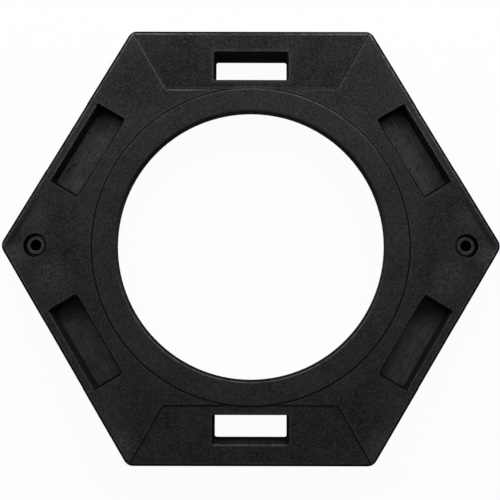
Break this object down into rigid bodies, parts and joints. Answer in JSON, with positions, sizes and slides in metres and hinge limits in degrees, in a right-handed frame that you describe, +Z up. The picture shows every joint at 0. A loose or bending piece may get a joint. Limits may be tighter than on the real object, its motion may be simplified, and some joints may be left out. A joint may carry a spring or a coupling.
{
  "type": "delineator base",
  "caption": "Hexagonal black rubber weight that drops over a delineator post, with a round post ring, hand slots, open pockets and anchor bushes.",
  "frame": {"origin": "on the post's axis, at the underside that stands on the road", "axes": "+Z up along the post, +X from tip to tip through the anchor bushes, +Y to the rear grip side"},
  "size_m": [0.4544, 0.3976, 0.043],
  "materials": {
    "body_rubber": "moulded crumb rubber, fine grain, coarser on the grip panels",
    "ring_rubber": "moulded rubber, smooth matte",
    "bush_metal": "black coated steel, worn at the rim"
  },
  "bodies": {
    "root": {"base_body": "body_rubber", "post_ring": "ring_rubber", "left_anchor_bush": "bush_metal", "right_anchor_bush": "bush_metal"}
  },
  "joints": []
}
